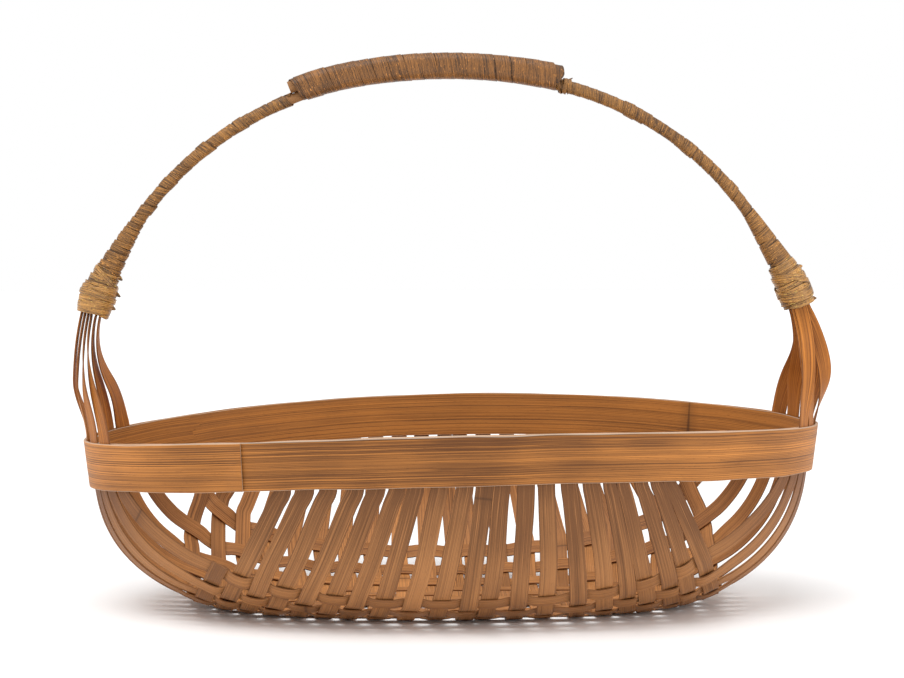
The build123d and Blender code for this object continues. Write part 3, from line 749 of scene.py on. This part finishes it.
def cross_strip(k):
    crossings = [(*CROSSINGS[k][j], 1 if (k + j) % 2 else -1) for j in range(LONG_COUNT)]
    weave = weave_frames(crossings, CROSS_WIDTH, LONG_WIDTH)
    front = [] if k == 0 else cross_wall(k, weave[0][0], False)
    back = cross_wall(k, weave[-1][0], True)
    fronts = [cross_rim_x(i, False) for i in range(1, len(CROSS_X))]
    backs = [cross_rim_x(i, True) for i in range(len(CROSS_X))]
    widths = (crowded_width(fronts, max(k - 1, 0), CROSS_WIDTH), crowded_width(backs, k, CROSS_WIDTH))
    node_at = HIGH_NODE if k == NODE_STRIP else 90 + (k * 67) % 190
    weave_strip(f"cross_strip_{k + 1:02d}", "cross_bamboo", front, weave, back, CROSS_WIDTH,
                widths, 100 + k, node_at)


def long_wall(j, last, right):
    side = 1 if right else -1
    y = long_line(j, 0)
    rise = math.asin(y * (LONG_BACK_RIM if y > 0 else LONG_FRONT_RIM) / HALF_WIDTH)
    t = rise if right else math.pi - rise
    end = oval_point(t, BAND_DEPTH, stake_inset(t))[1]
    return wall_frames(last, last[1], end, t, side, False)


def long_strip(j):
    crossings = []
    for k in range(len(CROSS_X)):
        centre, normal, cross_run, long_run = CROSSINGS[k][j]
        crossings.append((centre, normal, long_run, cross_run, -1 if (k + j) % 2 else 1))
    weave = weave_frames(crossings, LONG_WIDTH, CROSS_WIDTH)
    left, right = long_wall(j, weave[0][0], False), long_wall(j, weave[-1][0], True)
    weave_strip(f"long_strip_{j + 1:02d}", "long_bamboo", left, weave, right, LONG_WIDTH,
                (LONG_WIDTH_RIM, LONG_WIDTH_RIM), 200 + j, 40 + (j * 113) % 400)


for k in range(len(CROSS_X)):
    cross_strip(k)
for j in range(LONG_COUNT):
    long_strip(j)


# ---- handle: centre line of the arch ----
def arch_legs(side):
    """Length and radius of each leg of the centre line, from the crown down."""
    return ((CROWN_RADIUS * CROWN_TURN, CROWN_RADIUS),
            (FLANK_RADIUS[side] * FLANK_TURN[side], FLANK_RADIUS[side]),
            (SHIN[side], math.inf), (KNOT_LENGTH, KNOT_LENGTH / ANKLE_TURN[side]),
            (math.inf, math.inf))


def knot_span(side):
    """Lengths from the crown to the knot's upper and lower ends."""
    lengths = [length for length, _ in arch_legs(side)]
    return sum(lengths[:3]), sum(lengths[:4])


def arch_frame(s):
    """Point on the arch's centre line, its direction away from the crown, and the way out of the arch."""
    side = 1 if s >= 0 else -1
    left, x, z, turn = abs(s), CROWN_X, CROWN_Z, 0.0
    for length, radius in arch_legs(side):
        part = min(left, length)
        left -= part
        if radius == math.inf:
            x += side * math.cos(turn) * part
            z -= math.sin(turn) * part
        else:
            new = turn + part / radius
            x += side * radius * (math.sin(new) - math.sin(turn))
            z -= radius * (math.cos(turn) - math.cos(new))
            turn = new
    run = vec(side * math.cos(turn), 0, -math.sin(turn))
    return vec(x, 0, z), run, vec(side * math.sin(turn), 0, math.cos(turn))


def round_outline(radius):
    """Outline of a round length of the handle, whose radius is a function of the length."""
    def outline(s, theta):
        centre, _, outward = arch_frame(s)
        r = radius(s, theta)
        return centre + vec(0, 1, 0) * (r * math.cos(theta)) + outward * (r * math.sin(theta)), centre
    return outline


def grip_outline(grow):
    """Outline of the grip: squarish, and raised because its pad lies on top of the arch."""
    def outline(s, theta):
        centre, _, outward = arch_frame(s)
        c, w = math.cos(theta), math.sin(theta)
        extra = grow(s, theta)
        y = math.copysign(abs(c) ** GRIP_SQUARENESS, c) * (GRIP_OUTER[0] + extra)
        n = math.copysign(abs(w) ** GRIP_SQUARENESS, w) * (GRIP_OUTER[1] + extra) + GRIP_RISE
        return centre + vec(0, 1, 0) * y + outward * n, centre + outward * GRIP_RISE
    return outline


def wound(outline, lengths, angles, width, thickness, seed, lean=0.0, tones=0.0, ribs=0):
    """Ribbon wound over an outline, given the length along the arch and the angle at each station."""
    pairs = [outline(s, a) for s, a in zip(lengths, angles)]
    centres = np.array([p for p, _ in pairs])
    hubs = np.array([h for _, h in pairs])
    step = np.gradient(centres, axis=0)
    run = unit(step)
    tangents = np.array([arch_frame(s)[1] * (1 if s >= 0 else -1) for s in lengths])
    around = unit(np.cross(tangents, centres - hubs))
    around = around * column(np.sign((around * run).sum(-1)))
    normals = unit(np.cross(around, tangents))
    normals = normals * column(np.sign((normals * (centres - hubs)).sum(-1)))
    normals = in_surface(normals, run)
    across = np.cross(normals, run)
    across = across * column(np.sign((across * tangents).sum(-1)))
    s = lengths_along(centres)
    widths = width * (1 + wander(seed + 1, s, 30.0, 0.05))
    widths = widths * (0.25 + 0.75 * smoothstep(np.minimum(s, s[-1] - s) / 5.0))
    verts, faces, uv, fields, shape = ribbon_mesh(
        centres, across, normals, widths, thickness, rows=4 * ribs + 1 if ribs else 5, rounding=0.14,
        cup=0.04, relief=0.0 if ribs else 0.03, seed=seed, lean=lean, ribs=ribs, rib_depth=0.13)
    fields["tone"] = per_section(tones + wander(seed + 2, s, 36.0, 0.05), shape)
    fields["seed"] = (seed % 97) * 0.53
    fields.pop("inside")
    return verts, faces, uv, fields


def winding(outline, start, end, pitch, width, thickness, seed, segments=26, jitter=0.12, **more):
    """Turns of one ribbon side by side along the arch."""
    turns = abs(end - start) / pitch
    count = int(turns * segments) + 1
    angles = np.linspace(0, 2 * math.pi * turns, count) + 0.7 * seed
    lengths = np.linspace(start, end, count)
    lengths = lengths + wander(seed + 3, angles, 2 * math.pi, jitter * pitch)
    low, high = min(start, end), max(start, end)
    return wound(outline, np.clip(lengths, low, high), angles, width, thickness, seed, **more)


def uneven(seed, base, amount, pitch=7.0):
    """Radius with slow swellings along the handle."""
    stations = np.arange(-330, 331, 1.0)
    values = wander(seed, stations, pitch, amount)
    return lambda s, theta: base + float(np.interp(s, stations, values)) * (1 + 0.3 * math.cos(theta + s))


# Lumps of the arch binding: length from the crown, negative to the left, and height.
LUMPS = {-1: ((-118, 0.5), (-141, 0.7), (-168, 0.6), (-186, 0.7), (-203, 0.5)),
         1: ((101, 0.8), (108, 0.5), (139, 0.4), (171, 0.5), (190, 0.5))}


def spike(s, theta, slant, length, width, radius=4.0):
    """Cut end of a turn that sticks out of the binding."""
    centre, run, outward = arch_frame(s)
    out = vec(0, 1, 0) * math.cos(theta) + outward * math.sin(theta)
    way = unit(out + run * slant)
    points = centre + out * (radius - 1.5) + way * column(np.linspace(0, length + 1.5, 6))
    side_way = unit(np.cross(way, np.cross(out, run)))
    verts, faces, uv, fields, shape = ribbon_mesh(
        points, np.tile(side_way, (6, 1)), np.tile(np.cross(way, side_way), (6, 1)),
        width * np.array([1, 1, 0.95, 0.8, 0.55, 0.25]), 0.6, rows=5, rounding=0.14)
    fields["tone"] = per_section(np.linspace(0, -0.25, 6), shape)
    fields["seed"] = abs(s) * 0.37
    fields.pop("inside")
    return verts, faces, uv, fields


def arch_radius(side):
    """Radius under the outer turns, with a lump where a new length of rattan was let in."""
    base = uneven(31 + side, 3.1, 0.14)
    return lambda s, theta: base(s, theta) + sum(
        size * math.exp(-((s - at) / 3.2) ** 2) for at, size in LUMPS[side])


def arch_winding(side, grip_end):
    top, _ = knot_span(side)
    ends = sorted((grip_end, side * (top - TAPER_LENGTH)))
    under = winding(round_outline(lambda s, a: 2.95), *ends, pitch=5.0, width=5.2, thickness=0.3,
                    seed=310 + side, tones=-0.25)
    turns = winding(round_outline(arch_radius(side)), *ends, pitch=5.2, width=5.5, thickness=0.5,
                    seed=300 + side, lean=0.1, jitter=0.2, ribs=5)
    parts = [under, turns]
    if side > 0:
        # short binding that closes the grip's right-hand end
        parts.append(winding(round_outline(lambda s, a: 4.5 - (s - grip_end) * 0.12), grip_end + 1.5,
                             grip_end + 6.5, pitch=2.4, width=2.6, thickness=0.5, seed=320,
                             lean=0.2, ribs=2))
        parts.append(spike(63.0, 1.2, slant=1.0, length=3.2, width=1.4))
    place(f"arch_wrap_{SIDES[side]}", parts, "wrap_rattan", [f"arch_wrap_{SIDES[side]}"])


def taper_radius(side):
    top, _ = knot_span(side)

    def radius(s, theta):
        share = (top - abs(s)) / TAPER_LENGTH
        return TAPER_OUTER - 0.3 + (ARCH_WRAP - TAPER_OUTER) * min(max(share, 0), 1)
    return radius


def taper_winding(side):
    top, _ = knot_span(side)
    ends = sorted((side * (top - TAPER_LENGTH), side * (top + 1.0)))
    base = taper_radius(side)
    under = winding(round_outline(lambda s, a: base(s, a) - 0.45), *ends, pitch=3.0, width=3.4,
                    thickness=0.3, seed=410 + side, tones=-0.3)
    turns = winding(round_outline(base), *ends, pitch=3.0, width=3.3, thickness=0.55,
                    seed=400 + side, lean=0.14, jitter=0.25, ribs=3)
    place(f"taper_wrap_{SIDES[side]}", [under, turns], "wrap_rattan", [f"taper_wrap_{SIDES[side]}"])


# Shares of the knot's length from its upper end, and the radius at each.
KNOT_PROFILE = {-1: ((0, 0.2, 0.4, 0.6, 0.8, 1), (7.0, 7.9, 9.3, 10.2, 10.0, 8.9)),
                1: ((0, 0.3, 0.6, 0.85, 1), (7.0, 8.9, 9.7, 9.6, 9.0))}


def knot_radius(side, extra):
    top, _ = knot_span(side)

    def radius(s, theta):
        share = (abs(s) - top) / KNOT_LENGTH
        return float(np.interp(share, *KNOT_PROFILE[side])) - 0.55 + extra
    return radius


# Turns crossed over a knot: share of its length, tilt and starting angle.
KNOT_CROSSINGS = {-1: ((0.24, 3.5, 0.4), (0.44, 2.0, 2.9), (0.6, 1.4, 1.4)),
                  1: ((0.3, 4.5, 0.4), (0.46, -4.0, 2.9), (0.62, 3.5, 1.4), (0.74, -2.5, 4.4))}
# Loose ends: share of the knot's length and reach, which is negative on the arch's outer side.
KNOT_SPIKES = {-1: ((0.08, 1.9), (0.42, 2.6), (0.74, 1.5)), 1: ((0.92, -1.5), (0.3, -1.0))}


def knot_binding(side):
    """Level turns round the gathered strips, with a few turns crossed over them."""
    top, low = knot_span(side)
    ends = sorted((side * (top + 1.2), side * (low - 1.2)))
    under = winding(round_outline(knot_radius(side, -0.6)), *ends, pitch=3.2, width=3.5,
                    thickness=0.5, seed=510 + side, segments=36, tones=-0.3)
    turns = winding(round_outline(knot_radius(side, -0.15)), *ends, pitch=2.9, width=3.1,
                    thickness=0.6, seed=500 + side, segments=36, lean=0.24, jitter=0.3, ribs=3)
    parts = [under, turns]
    for i, (middle, tilt, phase) in enumerate(KNOT_CROSSINGS[side]):
        angles = np.linspace(0, 2 * math.pi * 1.02, 44) + phase
        lengths = side * (top + KNOT_LENGTH * middle) + tilt * np.sin(angles - phase)
        parts.append(wound(round_outline(knot_radius(side, 0.3 + 0.1 * i)), lengths, angles, width=3.2,
                           thickness=0.55, seed=520 + 10 * i + side, ribs=3))
    for share, reach in KNOT_SPIKES[side]:
        s = side * (top + KNOT_LENGTH * share)
        theta = -math.pi / 2 if reach > 0 else math.pi / 2
        parts.append(spike(s, theta, slant=0.25, length=abs(reach), width=2.6,
                           radius=knot_radius(side, 0.4)(s, 0)))
    place(f"knot_{SIDES[side]}", parts, "knot_rattan", [f"knot_{SIDES[side]}"])


# The outer turns begin and stop inside the grip's ends, and their pitch makes about 17 turns.
GRIP_START, GRIP_STOP, GRIP_PITCH = 6.2, 3.6, 8.043


def grip_binding():
    """Flat turns over the grip, on a layer of darker turns that shows at its ends."""
    start, end = GRIP_ENDS
    grow = uneven(61, -0.3, 0.1, 9.0)
    under = winding(grip_outline(lambda s, a: -0.75), start + 4.5, end - 0.5, pitch=7.6, width=8.0,
                    thickness=0.3, seed=610, segments=40, tones=-0.3)
    turns = winding(grip_outline(grow), start + GRIP_START, end - GRIP_STOP, pitch=GRIP_PITCH,
                    width=8.2, thickness=0.5, seed=600, segments=44, lean=0.05, jitter=0.08, ribs=9)
    place("grip_wrap", [under, turns], "grip_rattan", ["grip_wrap"])


# ---- handle strips ----
def layer_offset(layer):
    side = 1 if layer > 0 else -1
    return side * (CORE_RADIUS + WRAP_GAP + STRIP / 2 + (abs(layer) - 1) * STACK_PITCH)


def stack_place(side, index):
    """Offset beside the core along Y and outward, and the way the strip's inner face looks."""
    if side < 0:
        return 0.0, layer_offset(LEFT_STACK[index]), 0
    layer, outward = RIGHT_STACK[index]
    return layer_offset(layer), outward, -1 if layer > 0 else 1


def free_run(root, lean, bulge, entry, up, u):
    """Point at share u of the smooth curve from a strip's root at the rim to its entry in the knot."""
    reach = np.linalg.norm(entry - root)
    start = unit(lean + unit(entry - root) * HANDLE_AIM)
    low = root + start * (reach * HANDLE_PULL[0]) + bulge
    high = entry - up * (reach * HANDLE_PULL[1]) + bulge
    a, b, c = root + (low - root) * u, low + (high - low) * u, high + (entry - high) * u
    d, e = a + (b - a) * u, b + (c - b) * u
    return d + (e - d) * u


def handle_frames(side, index):
    """Centre, inner face's direction and width of a handle strip from its tail up into the knot."""
    rise = math.asin(HANDLE_RIM_Y[side][index] / HALF_WIDTH)
    t = rise if side > 0 else math.pi - rise
    inward = -oval_normal(t)
    lean = unit(vec(0, 0, 1) - inward * FLARE)
    beside, outward, facing = stack_place(side, index)
    top, low = knot_span(side)
    entry, down, out = arch_frame(side * (low + KNOT_ENTRY))
    final = vec(0, facing, 0) if facing else -out
    open_outward = LEFT_OPEN[index] if side < 0 else outward
    offset = vec(0, beside, 0) + out * open_outward
    root = oval_point(t, 0, HANDLE_INSET)
    bulge = -inward * HANDLE_BULGE[side][index]
    frames = [(oval_point(t, drop, HANDLE_INSET), inward, HANDLE_WIDTH_RIM) for drop in (HANDLE_TAIL, 0)]
    for u in np.linspace(0, 1, 25)[1:]:
        fan = float(smoothstep(u / FAN_RISE)) * (1 + FAN * (1 - u))
        turn = float(smoothstep(u / HANDLE_TURN))
        frames.append((free_run(root, lean, bulge, entry, -down, u) + offset * fan,
                       inward + (final - inward) * turn,
                       HANDLE_WIDTH_RIM + (HANDLE_WIDTH_KNOT[side] - HANDLE_WIDTH_RIM) * turn))
    for share in STACK_SHARES:
        centre, _, out = arch_frame(side * (low + (top - low) * share))
        frames.append((centre + vec(0, beside, 0) + out * outward,
                       vec(0, facing, 0) if facing else -out, HANDLE_WIDTH_KNOT[side]))
    return [np.array(column_of) for column_of in zip(*frames)]


def handle_strip(side, index):
    points, normals, widths = handle_frames(side, index)
    at, s, centres, normals, across = swept(points, normals)
    seed = 700 + 10 * side + index
    verts, faces, uv, fields, shape = ribbon_mesh(
        centres, across, normals, np.interp(at, s, widths), STRIP, rows=7, rounding=0.22,
        cup=0.08, relief=0.02, seed=seed)
    rng = np.random.default_rng(seed)
    fields["tone"] = per_section(rng.normal(0, TONE_SPREAD) + wander(seed + 7, at, 60.0, 0.05), shape)
    fields["seed"] = (seed % 101) * 0.61
    fields["node_at"] = 0.9
    name = f"handle_strip_{SIDES[side]}_{index + 1}"
    place(name, [(verts, faces, uv, fields)], "handle_bamboo", [name])


grip_binding()
for side, grip_end in ((-1, GRIP_ENDS[0]), (1, GRIP_ENDS[1])):
    arch_winding(side, grip_end)
    taper_winding(side)
    knot_binding(side)
    for index in range(len(HANDLE_RIM_Y[side])):
        handle_strip(side, index)


# ---- carried-over CAD nodes: the hidden core and pad ----
def plain_core():
    g = Graph("core_bamboo")
    node = g.tree.nodes.new("ShaderNodeTexCoord")
    stretch = g.tree.nodes.new("ShaderNodeMapping")
    stretch.inputs["Scale"].default_value = (60, 900, 900)
    g.link(node.outputs["Object"], stretch.inputs["Vector"])
    fibre = g.noise(stretch.outputs[0], 3, 0.6)
    color = g.mix(fibre, srgb(110, 72, 40), srgb(176, 128, 82))
    return g.finish(color, 0.7, g.bump(fibre, 0.0002, 0.6), Specular_IOR_Level=0.3)


core_material = plain_core()
for node in ("arch_core", "grip_pad"):
    carried = frame["nodes"][node]
    carried.data.materials.clear()
    carried.data.materials.append(core_material)


# ---- floor, light and camera ----
def floor_material():
    g = Graph("studio_floor")
    node = g.tree.nodes.new("ShaderNodeTexCoord")
    grain = g.noise(node.outputs["Object"], 2, 0.5)
    color = g.mix(grain, (0.96, 0.96, 0.96), (0.98, 0.98, 0.98))
    return g.finish(color, 0.9, g.bump(grain, 0.0001, 0.1), Specular_IOR_Level=0.1)


def floor():
    half = 4.0
    mesh = bpy.data.meshes.new("floor")
    corners = [(-half, -half, 0), (half, -half, 0), (half, half, 0), (-half, half, 0)]
    mesh.from_pydata(corners, [], [(0, 1, 2, 3)])
    mesh.materials.append(floor_material())
    plane = bpy.data.objects.new("floor", mesh)
    bpy.context.scene.collection.objects.link(plane)


def soft_light(name, kind, place_at, aim, size, power):
    data = bpy.data.lights.new(name, kind)
    if kind == "SUN":
        data.angle = size
    else:
        data.shape = "DISK"
        data.size = size
    data.energy = power
    lamp = bpy.data.objects.new(name, data)
    lamp.location = place_at
    direction = Vector(aim) - Vector(place_at)
    lamp.rotation_euler = direction.to_track_quat("-Z", "Y").to_euler()
    bpy.context.scene.collection.objects.link(lamp)


def world():
    scene_world = bpy.data.worlds.new("studio")
    scene_world.use_nodes = True
    tree = scene_world.node_tree
    background = tree.nodes["Background"]
    background.inputs[0].default_value = (1, 1, 1, 1)
    paths = tree.nodes.new("ShaderNodeLightPath")
    level = tree.nodes.new("ShaderNodeMapRange")
    level.inputs["To Min"].default_value = 0.8
    level.inputs["To Max"].default_value = 1.0
    tree.links.new(paths.outputs["Is Camera Ray"], level.inputs["Value"])
    tree.links.new(level.outputs["Result"], background.inputs[1])
    bpy.context.scene.world = scene_world


def camera():
    data = bpy.data.cameras.new("camera")
    data.sensor_width = 36.0
    data.lens = 89.6
    view = bpy.data.objects.new("camera", data)
    turn, pitch, distance, height = math.radians(-2.0), math.radians(3.66), 1.224, 0.22385
    view.location = (distance * math.sin(turn), -distance * math.cos(turn), height)
    view.rotation_euler = (math.pi / 2 - pitch, 0, turn)
    bpy.context.scene.collection.objects.link(view)
    bpy.context.scene.camera = view


floor()
world()
soft_light("key", "SUN", (-0.5, -0.8, 2.2), (0, 0, 0), math.radians(40), 1.7)
soft_light("fill", "AREA", (1.4, -1.0, 0.6), (0, 0, 0.1), 1.0, 5)
camera()
bpy.context.scene.view_settings.view_transform = "Standard"
